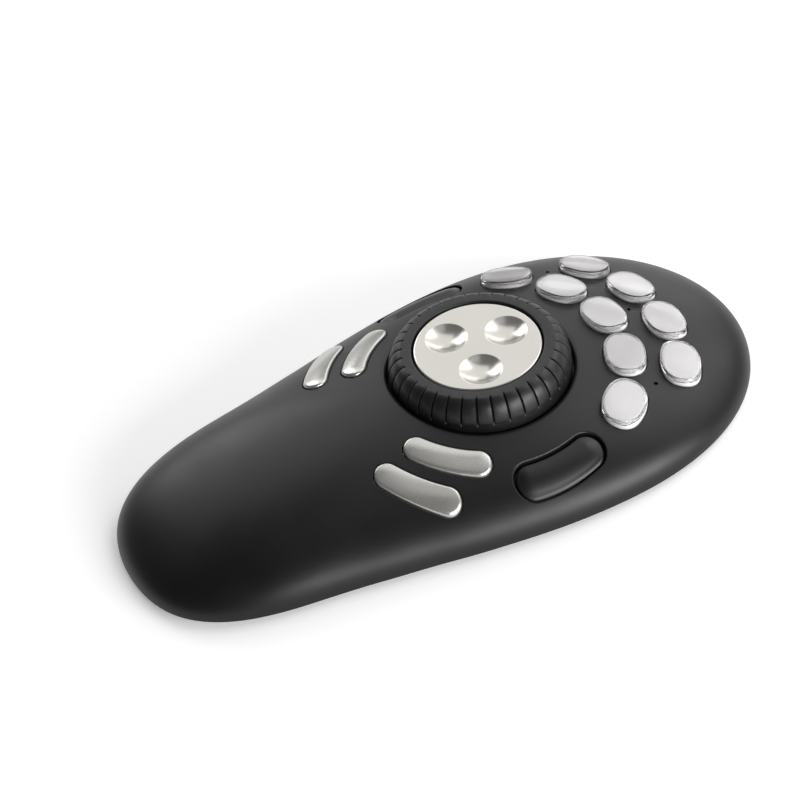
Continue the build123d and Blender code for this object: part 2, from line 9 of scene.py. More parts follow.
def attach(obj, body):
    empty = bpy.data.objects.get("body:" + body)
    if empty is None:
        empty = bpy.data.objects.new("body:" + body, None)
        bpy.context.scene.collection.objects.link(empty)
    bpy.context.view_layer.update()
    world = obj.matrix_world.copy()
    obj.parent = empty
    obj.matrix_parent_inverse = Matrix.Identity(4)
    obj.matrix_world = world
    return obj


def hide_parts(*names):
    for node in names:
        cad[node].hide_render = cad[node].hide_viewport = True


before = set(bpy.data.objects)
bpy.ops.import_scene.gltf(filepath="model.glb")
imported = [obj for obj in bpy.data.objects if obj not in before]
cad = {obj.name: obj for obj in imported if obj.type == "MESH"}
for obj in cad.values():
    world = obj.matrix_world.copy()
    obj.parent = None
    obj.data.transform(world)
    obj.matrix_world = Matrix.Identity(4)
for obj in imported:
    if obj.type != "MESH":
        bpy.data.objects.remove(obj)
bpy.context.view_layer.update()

# Base plate: the flat floor of the case, injection-moulded in matt black ABS.
# It closes the shell from below inside its rim and is held by four screws.
mm = 0.001


def linear(code):
    """sRGB hex to linear colour: the sRGB curve undone for each channel."""
    s = np.array([int(code[i:i + 2], 16) for i in (1, 3, 5)]) / 255
    return (*np.where(s <= 0.04045, s / 12.92, ((s + 0.055) / 1.055) ** 2.4).tolist(), 1.0)


def node(tree, kind, inputs, **settings):
    """One shader node: its settings, then each input as a value or as a link from another socket."""
    made = tree.nodes.new(kind)
    for name, value in settings.items():
        setattr(made, name, value)
    for name, value in inputs.items():
        if isinstance(value, bpy.types.NodeSocket):
            tree.links.new(value, made.inputs[name])
        else:
            made.inputs[name].default_value = value
    return made


def grained(name, pale, dark, rough, grain, height, **sockets):
    """A moulded or painted finish. Cloudy noise mixes its two colours and moves its roughness between two
    values, and grains of a real size in millimetres raise it by a height in millimetres."""
    cloud_size, cloud_detail, grain_detail = 18 * mm, 3.0, 2.0
    cloud_low, cloud_high = 0.3, 0.7
    made = bpy.data.materials.new(name)
    made.use_nodes = True
    tree = made.node_tree
    shader = tree.nodes["Principled BSDF"]
    place = node(tree, "ShaderNodeTexCoord", {}).outputs["Object"]
    cloud = node(tree, "ShaderNodeTexNoise", {
        "Vector": place, "Scale": 1 / cloud_size, "Detail": cloud_detail}).outputs["Fac"]
    fine = node(tree, "ShaderNodeTexNoise", {
        "Vector": place, "Scale": 1 / (grain * mm), "Detail": grain_detail}).outputs["Fac"]
    shade = node(tree, "ShaderNodeMix", {
        "Factor": cloud, "A": linear(dark), "B": linear(pale)}, data_type="RGBA")
    wear = node(tree, "ShaderNodeMapRange", {
        "Value": cloud, "From Min": cloud_low, "From Max": cloud_high,
        "To Min": rough[0], "To Max": rough[1]})
    bump = node(tree, "ShaderNodeBump", {"Height": fine, "Strength": 1.0, "Distance": height * mm})
    tree.links.new(shade.outputs["Result"], shader.inputs["Base Color"])
    tree.links.new(wear.outputs["Result"], shader.inputs["Roughness"])
    tree.links.new(bump.outputs["Normal"], shader.inputs["Normal"])
    for socket, value in sockets.items():
        shader.inputs[socket].default_value = value
    return made


def dress(material, *names):
    """The CAD piece keeps its shape and takes this material."""
    for name in names:
        cad[name].data.materials.clear()
        cad[name].data.materials.append(material)


# Matt moulded ABS: a dull black with a fine tooth that scatters every highlight.
matt_abs = grained("matt_moulded_abs", "#151516", "#0f0f10", (0.5, 0.62), 0.35, 0.03, IOR=1.53)
dress(matt_abs, "base_plate")

# Rubber feet: four round moulded pads with a soft edge.
# They are pressed into shallow seats in the base plate and carry the case.
wheel_y = 17.8
foot_radius, foot_height, foot_round, foot_columns = 6.0, 2.6, 0.7, 48
head_foot_radius, palm_foot_x, palm_foot_y = 62.0, 26.0, -77.0


def closed_piece(name, sheets, material, body, slot, *replaced, sharp=35):
    """One object from closed surfaces. A sheet holds rows of points that each close on themselves, and quads
    join every row to the next. A row of one repeated point is a pole. A sheet that encloses a negative
    volume is turned round, and points that coincide are merged."""
    points, quads, count = [], [], 0
    for sheet in sheets:
        rows, columns = sheet.shape[:2]
        index = np.arange(rows * columns).reshape(rows, columns)
        across = np.roll(index, -1, axis=1)
        faces = np.stack([index[:-1], across[:-1], across[1:], index[1:]], axis=-1).reshape(-1, 4)
        flat = sheet.reshape(-1, 3)
        a, b, c, d = (flat[faces[:, i]] - flat.mean(0) for i in range(4))
        volume = (a * np.cross(b, c)).sum() + (a * np.cross(c, d)).sum()
        points.append(flat)
        quads.append((faces if volume > 0 else faces[:, ::-1]) + count)
        count += len(flat)
    mesh = bpy.data.meshes.new(name)
    mesh.from_pydata(np.concatenate(points).tolist(), [], np.concatenate(quads).tolist())
    return finish_piece(name, mesh, material, body, replaced, sharp)


def finish_piece(name, mesh, material, body, replaced, sharp):
    """Merges coincident points, shades smooth up to a sharp angle and gives the piece its body."""
    same_place, no_length = 1e-7, 1e-8
    work = bmesh.new()
    work.from_mesh(mesh)
    bmesh.ops.remove_doubles(work, verts=work.verts, dist=same_place)
    bmesh.ops.dissolve_degenerate(work, edges=work.edges, dist=no_length)
    work.to_mesh(mesh)
    work.free()
    mesh.shade_smooth()
    mesh.set_sharp_from_angle(angle=math.radians(sharp))
    mesh.materials.append(material)
    piece = bpy.data.objects.new(name, mesh)
    bpy.context.scene.collection.objects.link(piece)
    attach(piece, body)
    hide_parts(*replaced)
    return piece


def turned(profile, x, y, columns):
    """A profile of radius and height, in millimetres, turned about an upright axis at x, y."""
    angle = np.linspace(0, 2 * np.pi, columns, endpoint=False)
    r, z = np.asarray(profile, float).T
    grid = np.stack([x + r[:, None] * np.sin(angle), y + r[:, None] * np.cos(angle),
                     z[:, None] + 0 * angle], axis=-1)
    return grid * mm


def rounding(r, z, radius, start, end, steps=6):
    """Arc of a profile about a centre at r, z, from one angle to another, in degrees above outward."""
    turn = np.radians(np.linspace(start, end, steps))
    return np.stack([r + radius * np.cos(turn), z + radius * np.sin(turn)], axis=-1)


head_foot = head_foot_radius * math.sqrt(0.5)
foot_profile = np.concatenate([
    [(0, 0)],
    rounding(foot_radius - foot_round, foot_round, foot_round, -90, 0),
    [(foot_radius, foot_height), (0, foot_height)],
])
foot_places = [(side * x, y) for side in (-1, 1)
               for x, y in ((head_foot, wheel_y + head_foot), (palm_foot_x, palm_foot_y))]
# Carbon-filled rubber: charcoal grey, matt and faintly dusty.
foot_rubber = grained("carbon_filled_rubber", "#222222", "#191919", (0.75, 0.9), 0.5, 0.03, IOR=1.52)
closed_piece("rubber_feet_pads", [turned(foot_profile, x, y, foot_columns) for x, y in foot_places],
             foot_rubber, "case", "foot_rubber", "rubber_feet")

# Screws of the case, board and wheel mount: steel with pan heads, zinc-plated after heading.
# They bite into moulded posts, and the plating is a cool grey metal with a fine crystalline grain.
zinc = grained("zinc_plated_steel", "#b9bdc0", "#a3a7ab", (0.28, 0.4), 0.3, 0.01, Metallic=1.0)
dress(zinc, "case_screws", "board_screws", "mount_screws")

# Main board and its components: glass-fibre laminate with epoxy packages and a nylon socket.
# The board is screwed to posts of the base plate and is hidden once the case is closed.
# Solder mask is a smooth deep green, moulded epoxy a flat charcoal, and natural nylon a waxy ivory.
laminate = grained("solder_mask_laminate", "#17633a", "#0f4d2c", (0.25, 0.35), 0.6, 0.02, IOR=1.5)
epoxy = grained("moulded_epoxy", "#232326", "#1a1a1c", (0.45, 0.6), 0.2, 0.01)
nylon = grained("natural_nylon", "#e3dcc6", "#d6cdb3", (0.4, 0.5), 0.5, 0.01)
dress(laminate, "main_board")
dress(epoxy, "controller_chip", "tact_switches", "jog_sensor", "shuttle_sensor")
dress(nylon, "cable_socket")

# Wheel mount, bush, spindle, spring and carrier: acetal mouldings, sintered bronze and bright steel.
# They carry the wheel inside the case, screwed to the base plate through the board.
# Acetal is a waxy mid grey, sintered bronze a dull gold, spring steel and nickel plate bright and smooth.
acetal = grained("grey_acetal", "#5a5a5e", "#4e4e52", (0.35, 0.45), 0.4, 0.01)
bronze = grained("sintered_bronze", "#b08348", "#946a36", (0.35, 0.5), 0.15, 0.02, Metallic=1.0)
steel = grained("bright_spring_steel", "#c9c9c9", "#b4b4b6", (0.2, 0.3), 0.2, 0.005, Metallic=1.0)
nickel = grained("nickel_plate", "#cfcabf", "#beb9ae", (0.15, 0.25), 0.2, 0.005, Metallic=1.0)
dress(acetal, "wheel_mount", "shuttle_carrier")
dress(bronze, "jog_bush")
dress(steel, "jog_spindle", "spindle_clip", "shuttle_spring")
dress(nickel, "jog_magnet")

# Shuttle ring: a soft black elastomer tyre moulded on to the carrier, smooth beside the disc and then
# grooved by thin radial cuts that let the fingertips grip it.
disc_top = 32.7
ring_bore, ring_land, ring_radius = 21.75, 24.35, 30.2
ring_crest, ring_shoulder, ring_foot, ring_round, ring_rows = 0.3, 8.6, 14.6, 0.5, 34
groove_count, groove_half, groove_depth = 36, 0.3, 0.75
groove_start_share, groove_end_share, groove_fade_share = 0.12, 0.93, 0.06
rib_swell, swell_reach = 0.15, 0.9
column_shares = np.array([0, 0.018, 0.036, 0.054, 0.075, 0.11, 0.18, 0.28, 0.39])


def grooved_ring():
    """A closed profile turned about the wheel: bore, rounded inner edge, flat land, quarter ellipse and outer
    wall. On the ellipse each point sinks along the profile's normal by a groove that is deepest at every
    tenth degree, and swells a little between grooves."""
    inner = rounding(ring_bore + ring_round, ring_crest - ring_round, ring_round, 180, 90)
    turn = np.radians(np.linspace(90, 0, ring_rows))
    wide, high = ring_radius - ring_land, ring_crest + ring_shoulder
    outer = np.stack([ring_land + wide * np.cos(turn), -ring_shoulder + high * np.sin(turn)], axis=-1)
    profile = np.concatenate([[(ring_bore, -ring_foot)], inner, outer,
                              [(ring_radius, -ring_foot), (ring_bore, -ring_foot)]])
    curved = slice(1 + len(inner), 1 + len(inner) + len(turn))
    slope = np.stack([np.cos(turn) / wide, np.sin(turn) / high], axis=-1)
    normal = np.zeros_like(profile)
    normal[curved] = slope / np.linalg.norm(slope, axis=1, keepdims=True)
    along = np.linspace(0, 1, len(turn))
    share = np.zeros(len(profile))
    share[curved] = (np.clip(along / groove_start_share, 0, 1) ** 2
                     * np.clip((groove_end_share - along) / groove_fade_share, 0, 1))
    pitch = 2 * np.pi / groove_count
    spread = np.concatenate([-column_shares[:0:-1], column_shares, [0.5]])
    angle = (np.arange(groove_count)[:, None] + spread).ravel() * pitch
    off = np.tile(spread, groove_count) * pitch * (ring_land + ring_radius) / 2
    cut = groove_depth * np.clip(1 - (np.abs(off) / groove_half) ** 2, 0, 1)
    swell = rib_swell * (1 - np.exp(-(off / swell_reach) ** 2))
    lift = share[:, None] * (swell - cut)
    r = profile[:, :1] + normal[:, :1] * lift
    z = disc_top + profile[:, 1:] + normal[:, 1:] * lift
    return np.stack([r * np.sin(angle), wheel_y + r * np.cos(angle), z], axis=-1) * mm


# Soft black elastomer: near black, with a low sheen that runs over the ribs.
tyre = grained("soft_black_elastomer", "#131315", "#0e0e10", (0.4, 0.48), 0.3, 0.015, IOR=1.47)
closed_piece("shuttle_tyre", [grooved_ring()], tyre, "shuttle", "ring_rubber", "shuttle_ring", sharp=50)

# Jog disc: a cast disc with three round finger dimples, sprayed with satin silver lacquer.
# It is pressed on to the spindle and turns freely inside the shuttle ring.
disc_radius, disc_thickness, disc_round = 21.2, 4.0, 0.7
disc_hub_radius, disc_hub, disc_rows, disc_columns = 7.0, 3.0, 84, 420
dimple_count, dimple_radius, dimple_depth, dimple_reach = 3, 7.1, 1.9, 11.4
dimple_angle, dimple_edge = -6.0, 0.05


def dimpled_disc():
    """A turned disc with a hub below. On its top each point sinks by the height of a spherical cap about the
    nearest dimple's centre, and a soft maximum rounds the cap's rim."""
    top = np.linspace(0, disc_radius - disc_round, disc_rows)
    edge = rounding(disc_radius - disc_round, -disc_round, disc_round, 90, 0)
    profile = np.concatenate([
        np.stack([top, 0 * top], axis=-1), edge,
        [(disc_radius, -disc_thickness), (disc_hub_radius, -disc_thickness),
         (disc_hub_radius, -disc_thickness - disc_hub), (0, -disc_thickness - disc_hub)],
    ])
    grid = turned(profile + [0, disc_top], 0, wheel_y, disc_columns) / mm
    sphere = (dimple_radius ** 2 + dimple_depth ** 2) / (2 * dimple_depth)
    centre = np.radians(dimple_angle + np.arange(dimple_count) * 360 / dimple_count)
    away = np.hypot(grid[:, :, :1] - dimple_reach * np.sin(centre),
                    grid[:, :, 1:2] - wheel_y - dimple_reach * np.cos(centre)).min(axis=-1)
    cap = dimple_depth - sphere + np.sqrt(np.maximum(sphere ** 2 - np.minimum(away, sphere) ** 2, 0))
    grid[:len(top), :, 2] -= (dimple_edge * np.logaddexp(0, cap / dimple_edge))[:len(top)]
    return grid * mm


# Satin silver lacquer: a warm pale metal with soft-edged reflections. Its flakes are drawn at 0.45 mm,
# coarser than the real ones, so that they show.
silver = grained("satin_silver_lacquer", "#c4c2bc", "#bcbab4", (0.2, 0.26), 0.45, 0.001, Metallic=0.85)
closed_piece("jog_disc_face", [dimpled_disc()], silver, "jog", "silver_lacquer", "jog_disc", sharp=40)

# Oval keys: a flanged white ABS stem, a pearl-white label with a rolled edge, and a clear acrylic cap that
# sits on the stem's shoulder over both. They stand in two arcs on the crown of the case, whose formula
# comes first, and travel straight down on to switches.
half_width, half_length = 60.5, 113.0
crown_rise, crown_shift, rim_height = 24.4, 8.0, 2.0
rise_power, reach_power, outline_waves = 2.0, 1.9, 14
key_half_length, key_half_width, key_power, key_columns = 8.9, 6.95, 2.35, 96
key_proud, shoulder_rise, cap_wall, cap_round = 2.4, 0.5, 0.6, 0.7
label_thickness, label_gap, label_round, hairline = 0.5, 0.1, 0.4, 0.03
inner_arc, inner_step, outer_arc, outer_step = 47.6, 25.2, 65.6, 18.3
arc_flare, flare_power = 2.0, 4
key_spots = [(inner_arc + arc_flare * (n / 2) ** flare_power, inner_step * n) for n in range(-2, 3)]
key_spots += [(outer_arc, outer_step * (n - 1.5)) for n in range(4)]
slope_step = 0.05


def waves(angle):
    """Cosines of whole multiples of an angle, up to the finest wave of the outline."""
    return np.cos(np.multiply.outer(angle, np.arange(outline_waves + 1)))


def rim_series():
    """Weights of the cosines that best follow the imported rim: its points lie at the rim's height and face
    outwards, and each gives the distance from the crown's middle in its own plan direction."""
    level_slack, least_outward = 0.01, 0.3
    mesh = cad["top_shell"].data
    place, facing = np.empty((len(mesh.vertices), 3)), np.empty((len(mesh.vertices), 3))
    mesh.vertices.foreach_get("co", place.ravel())
    mesh.vertices.foreach_get("normal", facing.ravel())
    x, y, z = (place / mm).T
    angle = np.arctan2(x, y + crown_shift)
    outward = facing[:, 0] * np.sin(angle) + facing[:, 1] * np.cos(angle)
    rim = (z < rim_height + level_slack) & (outward > least_outward)
    return np.linalg.lstsq(waves(angle[rim]), np.hypot(x, y + crown_shift)[rim], rcond=None)[0]


outline_series = rim_series()


def span(angle):
    """Distance from the crown's middle to the outline in a plan direction."""
    return waves(angle) @ outline_series


def crown(x, y, depth=0.0):
    """Height of the case surface: the rise times the root of one minus the reach to its power, where the
    reach is the share of the way from the crown's middle to the outline. A depth shrinks the pebble
    inwards."""
    x = x * half_width / (half_width - depth)
    y = y * half_length / (half_length - depth)
    reach = np.hypot(x, y + crown_shift) / span(np.arctan2(x, y + crown_shift))
    fall = np.maximum(1 - np.minimum(reach, 1) ** reach_power, 0)
    return rim_height + (crown_rise - depth) * fall ** (1 / rise_power)


def uphill(x, y):
    """Slope of the case surface in plan, from differences of its height over a small step."""
    return np.array([crown(x + slope_step, y) - crown(x - slope_step, y),
                     crown(x, y + slope_step) - crown(x, y - slope_step)]) / (2 * slope_step)


def about_wheel(radius, angle):
    """Plan place round the wheel at an angle from the head, clockwise from above."""
    turn = np.radians(angle)
    return radius * np.sin(turn), wheel_y + radius * np.cos(turn)


def seat(radius, angle):
    """Tangent frame of the case at a place round the wheel: the point, the unit vector along the arc and the
    one across it."""
    x, y = about_wheel(radius, angle)
    slope = uphill(x, y)
    normal = np.array([-slope[0], -slope[1], 1.0])
    normal /= np.linalg.norm(normal)
    along = np.array([math.cos(math.radians(angle)), -math.sin(math.radians(angle)), 0.0])
    along -= normal * (along @ normal)
    along /= np.linalg.norm(along)
    return np.array([x, y, crown(x, y)]), along, np.cross(normal, along)


def oval(angle, grow):
    """Squarish oval: cosine and sine raised to two over the power, times the half sizes grown evenly."""
    c, s = np.cos(angle), np.sin(angle)
    bend = 2 / key_power
    return ((key_half_length + grow) * np.sign(c) * np.abs(c) ** bend,
            (key_half_width + grow) * np.sign(s) * np.abs(s) ** bend)


def oval_stack(spot, rows):
    """Rows of ovals, each with its growth and its height above the tangent plane. A row may give None for its
    growth, and then gathers at the middle."""
    point, along, across = seat(*spot)
    angle = np.linspace(0, 2 * np.pi, key_columns, endpoint=False)
    sheet = []
    for grow, height in rows:
        a, b = (0 * angle, 0 * angle) if grow is None else oval(angle, grow)
        sheet.append(point + a[:, None] * along + b[:, None] * across + [0, 0, height])
    return np.array(sheet) * mm


def edge_rows(grow, height, radius, steps=5):
    """Rows that roll a top edge over by a quarter circle."""
    turn = np.radians(np.linspace(0, 90, steps))
    return [(grow - radius * (1 - c), height - radius * (1 - s)) for c, s in zip(np.cos(turn), np.sin(turn))]


# Clear moulded acrylic: bright lines along its edges and a softly hazed mirror on its top.
haze_size, haze_low, haze_high = 3 * mm, 0.08, 0.13
acrylic = bpy.data.materials.new("clear_moulded_acrylic")
acrylic.use_nodes = True
clear = acrylic.node_tree.nodes["Principled BSDF"]
clear.inputs["Base Color"].default_value = linear("#fdfcfc")
clear.inputs["Transmission Weight"].default_value = 1.0
clear.inputs["IOR"].default_value = 1.49
clear_place = node(acrylic.node_tree, "ShaderNodeTexCoord", {}).outputs["Object"]
clear_haze = node(acrylic.node_tree, "ShaderNodeTexNoise", {"Vector": clear_place, "Scale": 1 / haze_size})
clear_rough = node(acrylic.node_tree, "ShaderNodeMapRange", {
    "Value": clear_haze.outputs["Fac"], "To Min": haze_low, "To Max": haze_high})
acrylic.node_tree.links.new(clear_rough.outputs["Result"], clear.inputs["Roughness"])
# Pearl-white label film and white moulded ABS: pale and even, so the cap above them reads as pale glass.
pearl = grained("pearl_white_label", "#f0eeef", "#eae8ea", (0.28, 0.34), 0.25, 0.004)
stem_abs = grained("white_moulded_abs", "#f0f0f2", "#e8e8eb", (0.4, 0.5), 0.4, 0.01, IOR=1.53)
dress(stem_abs, *[f"key_stem_{n}" for n in range(1, 10)])
for number, spot in enumerate(key_spots, start=1):
    roof = key_proud - cap_wall
    foot = shoulder_rise + hairline
    cap_rows = [(None, key_proud)] + edge_rows(0, key_proud, cap_round)[::-1]
    cap_rows += [(0, foot), (-cap_wall, foot), (-cap_wall, roof), (None, roof)]
    closed_piece(f"key_cap_{number}_clear", [oval_stack(spot, cap_rows)], acrylic, f"key_{number}",
                 "clear_acrylic", f"key_cap_{number}")
    inset = -cap_wall - label_gap
    label_rows = [(None, roof - label_thickness), (inset, roof - label_thickness)]
    label_rows += edge_rows(inset, roof - hairline, label_round) + [(None, roof - hairline)]
    closed_piece(f"key_label_{number}_plate", [oval_stack(spot, label_rows)], pearl, f"key_{number}",
                 "pearl_label", f"key_label_{number}")

# Curved keys: on each side of the wheel two pillowed silver bars and one black side key. They are moulded
# hollow bars with a flange below the shell, and follow the crown of the case.
silver_arcs = {"silver_inner": (42.1, 120.0, 147.8), "silver_outer": (55.0, 130.2, 151.4)}
silver_half, silver_proud, silver_roll, silver_dome, silver_clearance = 4.2, 1.3, 1.1, 0.25, 0.3
side_arc, side_post_arc = (48.7, 75.6, 100.4), 46.5
side_half, side_proud, side_roll, side_dome, side_clearance = 5.2, 0.4, 1.1, 0.9, 0.6
flange, flange_top, flange_foot, flange_floor = 1.2, -2.9, -3.9, 5.7
post_radius, post_foot, post_columns = 1.6, 8.6, 24
roll_rows, dome_rows = 7, 8


def slot_loop(radius, start, end, half, run=40, turn=14):
    """Closed curve at a half width from an arc about the wheel: out along the outer side, round the end, back
    along the inner side and round the start."""
    there = np.linspace(start, end, run)
    lean = np.linspace(0, 180, turn + 2)[1:-1]
    way = np.sign(end - start)
    spine = np.concatenate([there, np.full(turn, end), there[::-1], np.full(turn, start)])
    facing = np.concatenate([there, end + way * lean, there[::-1] + 180, start + 180 + way * lean])
    x, y = about_wheel(radius, spine)
    return x + half * np.sin(np.radians(facing)), y + half * np.cos(np.radians(facing))


def curved_key(name, radius, start, end, half, proud, roll, dome, material, slot, post):
    """A bar as loops about its spine: flange, wall, rolled edge and domed top, each loop at its own half
    width and at its own height over the crown, and below it a round post down to its switch."""
    rows = [(0, flange_foot), (half + flange, flange_foot), (half + flange, flange_top), (half, flange_top)]
    arc = np.radians(np.linspace(0, 90, roll_rows))
    rows += [(half - roll * (1 - c), proud - dome - roll * (1 - s)) for c, s in zip(np.cos(arc), np.sin(arc))]
    inner = np.linspace(half - roll, 0, dome_rows)[1:]
    rows += [(w, proud - dome * (w / (half - roll)) ** 2) for w in inner]
    sheet = []
    for width, height in rows:
        x, y = slot_loop(radius, start, end, width)
        z = np.maximum(crown(x, y, max(-height, 0)) + max(height, 0), flange_floor)
        sheet.append(np.stack([x, y, z], axis=-1))
    px, py = post
    post_top = crown(px, py) + flange_top
    post_profile = [(0, post_foot), (post_radius, post_foot), (post_radius, post_top), (0, post_top)]
    column = turned(post_profile, px, py, post_columns)
    closed_piece(f"{name}_bar", [np.array(sheet) * mm, column], material, name, slot, name, sharp=55)


# Satin silver lacquer on the bars: a shade greyer than the disc, with a bright line along each rolled edge.
bar_silver = grained("satin_silver_bar_lacquer", "#c0bfbb", "#b7b6b2", (0.25, 0.31), 0.45, 0.001,
                     Metallic=0.8)
# Satin ABS of the side keys: as black as the shell and a little smoother.
side_abs = grained("satin_side_abs", "#0b0b0c", "#08080a", (0.36, 0.42), 0.3, 0.01, IOR=1.45)
for hand, sign in (("right", 1), ("left", -1)):
    for name, (radius, start, end) in silver_arcs.items():
        curved_key(f"{name}_{hand}", radius, sign * start, sign * end, silver_half, silver_proud, silver_roll,
                   silver_dome, bar_silver, "silver_lacquer", about_wheel(radius, sign * (start + end) / 2))
    radius, start, end = side_arc
    curved_key(f"side_key_{hand}", radius, sign * start, sign * end, side_half, side_proud, side_roll,
               side_dome, side_abs, "side_black_abs", about_wheel(side_post_arc, sign * (start + end) / 2))

# Top shell: one thin injection-moulded crown of black ABS with a fine spark-eroded satin, with an opening for
# every control. The wheel opening has a broad rolled lip, and the rest have small rolled edges.
# It drops over the base plate and is screwed to it from below.
wall, rim_lip, base_top = 2.4, 1.2, 4.6
opening_radius, lip_round, hole_round, side_hole_round, pin_round = 30.8, 1.8, 0.35, 0.5, 0.15
key_clearance = 0.3
pin_hole_radius, pin_hole_arc, pin_hole_angle = 0.65, 57.4, 37.0
inlet_radius, inlet_height, inlet_y, inlet_flange, inlet_seat = 3.05, 7.85, 65.4, 2.9, 1.6
inlet_columns, inlet_halvings, inlet_samples, pocket_floor = 40, 40, 2000, 0.8
inlet_inward, inlet_outward = -10.0, 20.0
wheel_columns, pin_columns = 240, 20
no_loop, rim_loop, same_spot = -1, -2, 1e-9
shell_columns, crown_levels, rim_levels, crown_grade, rim_grade = 420, 50, 28, 0.2, 1.2
collar_share, collar_room, hole_reach, roll_steps = 1.25, 0.45, 2, 6
least_column, column_slack, mean_span = 1.0, 0.25, 70
inner_inset, inset_start_share, flank_share, least_wall_share = 0.6, 0.86, 0.9, 0.4


def inlet_axis():
    """Seat point of the cable inlet in plan and its level outward direction: the wall is met at the flange's
    upper edge, and the direction is the crown's downhill one there."""
    across = np.linspace(-half_width, 0, inlet_samples)
    x = np.interp(inlet_height + inlet_flange, crown(across, inlet_y + 0 * across), across)
    slope = -uphill(x, inlet_y)
    out = slope / np.linalg.norm(slope)
    return np.array([x, inlet_y]) - inlet_seat * out, out


def inlet_loop(off):
    """Where a level cylinder meets the crown: for each point round the cylinder, halving finds the distance
    along its axis at which the crown's reach equals the reach of that height."""
    start, out = inlet_axis()
    turn = np.linspace(0, 2 * np.pi, inlet_columns, endpoint=False)
    sideways = (inlet_radius + off) * np.sin(turn)
    z = inlet_height + (inlet_radius + off) * np.cos(turn)
    target = (1 - ((z - rim_height) / crown_rise) ** rise_power) ** (1 / reach_power)
    near, far = np.full(inlet_columns, inlet_inward), np.full(inlet_columns, inlet_outward)
    for _ in range(inlet_halvings):
        middle = (near + far) / 2
        x = start[0] + middle * out[0] - sideways * out[1]
        y = start[1] + middle * out[1] + sideways * out[0]
        within = np.hypot(x, y + crown_shift) / span(np.arctan2(x, y + crown_shift)) < target
        near, far = np.where(within, middle, near), np.where(within, far, middle)
    return x, y


def hole_family():
    """The openings as functions of an outward offset in plan, each with the radius of its rolled edge."""
    ring = np.linspace(0, 2 * np.pi, wheel_columns, endpoint=False)
    small = np.linspace(0, 2 * np.pi, pin_columns, endpoint=False)
    turn = np.linspace(0, 2 * np.pi, key_columns, endpoint=False)

    def wheel(off):
        return (opening_radius + off) * np.sin(ring), wheel_y + (opening_radius + off) * np.cos(ring)

    def key(spot):
        point, along, across = seat(*spot)

        def loop(off):
            a, b = oval(turn, key_clearance + off)
            return point[0] + a * along[0] + b * across[0], point[1] + a * along[1] + b * across[1]
        return loop

    def slot(arc, side, half):
        radius, start, end = arc
        return lambda off: slot_loop(radius, side * start, side * end, half + off)

    def pin(angle):
        x, y = about_wheel(pin_hole_arc, angle)
        return lambda off: (x + (pin_hole_radius + off) * np.sin(small),
                            y + (pin_hole_radius + off) * np.cos(small))

    holes = [(wheel, lip_round)] + [(key(spot), hole_round) for spot in key_spots]
    holes += [(pin(side * pin_hole_angle), pin_round) for side in (-1, 0, 1)]
    silver_hole, side_hole = silver_half + silver_clearance, side_half + side_clearance
    for side in (-1, 1):
        holes += [(slot(arc, side, silver_hole), hole_round) for arc in silver_arcs.values()]
        holes.append((slot(side_arc, side, side_hole), side_hole_round))
    return holes + [(inlet_loop, pin_round)]


def near_loop(x, y, lx, ly):
    """Signed distance from points to a closed loop, negative inside: the nearest distance to the loop's
    sides, with its sign from the parity of the sides crossed by a ray."""
    nx, ny = np.roll(lx, -1), np.roll(ly, -1)
    ex, ey = nx - lx, ny - ly
    dx, dy = x[:, None] - lx, y[:, None] - ly
    t = np.clip((dx * ex + dy * ey) / (ex ** 2 + ey ** 2), 0, 1)
    away = np.sqrt(((dx - t * ex) ** 2 + (dy - t * ey) ** 2).min(axis=1))
    crosses = (ly > y[:, None]) != (ny > y[:, None])
    side = x[:, None] < lx + (y[:, None] - ly) * ex / np.where(ey == 0, 1, ey)
    inside = (crosses & side).sum(axis=1) % 2 == 1
    return np.where(inside, -away, away)


def unrolled(x, y):
    """Plan points laid out for the triangulation: the direction is kept and the reach becomes its arcsine,
    which spreads the steep rim out into a band of real width."""
    angle = np.arctan2(x, y + crown_shift)
    reach = np.minimum(np.hypot(x, y + crown_shift) / span(angle), 1)
    m = np.arcsin(reach)
    return m * np.sin(angle), m * np.cos(angle)


